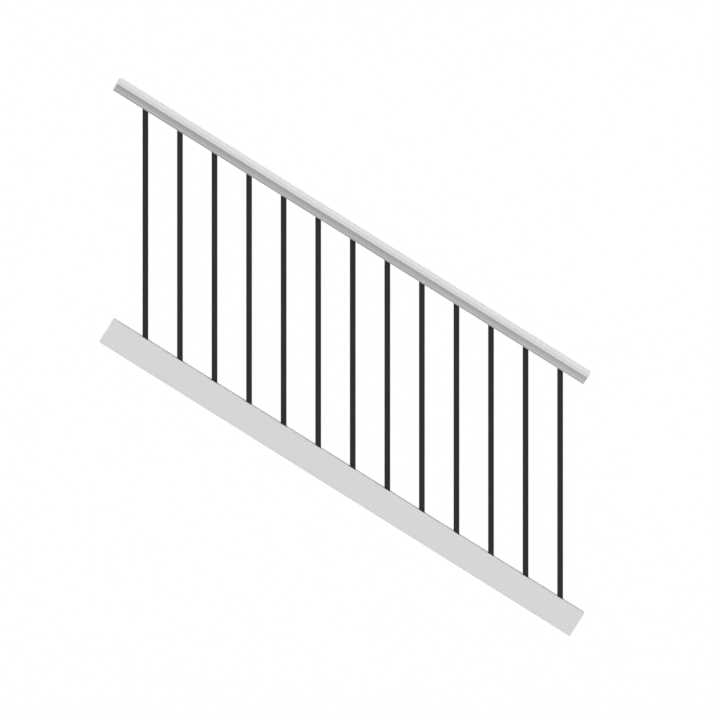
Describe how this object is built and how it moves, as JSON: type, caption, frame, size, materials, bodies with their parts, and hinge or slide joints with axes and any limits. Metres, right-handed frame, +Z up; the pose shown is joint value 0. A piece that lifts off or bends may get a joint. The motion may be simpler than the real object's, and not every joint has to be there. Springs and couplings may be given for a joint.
{
  "type": "stair balustrade panel",
  "caption": "Raked stair balustrade panel: hollow white vinyl top and bottom rails with plumb black square aluminium balusters, fixed by its rail ends between stair posts.",
  "frame": {"origin": "on the lower end face of the bottom rail, in the middle of that face's lower edge", "axes": "+X runs level and downhill, +Y level and square to the panel, away from the picture's camera, +Z up"},
  "size_m": [1.6197, 0.089, 1.8521],
  "materials": {
    "white_vinyl": "satin",
    "black_coated_aluminium": "satin powder coat",
    "bare_aluminium": "mill"
  },
  "bodies": {
    "root": {"top_rail": "white_vinyl", "bottom_rail": "white_vinyl", "top_rail_channel": "bare_aluminium", "bottom_rail_channel": "bare_aluminium", "baluster_01": "black_coated_aluminium", "baluster_02": "black_coated_aluminium", "baluster_03": "black_coated_aluminium", "baluster_04": "black_coated_aluminium", "baluster_05": "black_coated_aluminium", "baluster_06": "black_coated_aluminium", "baluster_07": "black_coated_aluminium", "baluster_08": "black_coated_aluminium", "baluster_09": "black_coated_aluminium", "baluster_10": "black_coated_aluminium", "baluster_11": "black_coated_aluminium", "baluster_12": "black_coated_aluminium", "baluster_13": "black_coated_aluminium"}
  },
  "joints": []
}
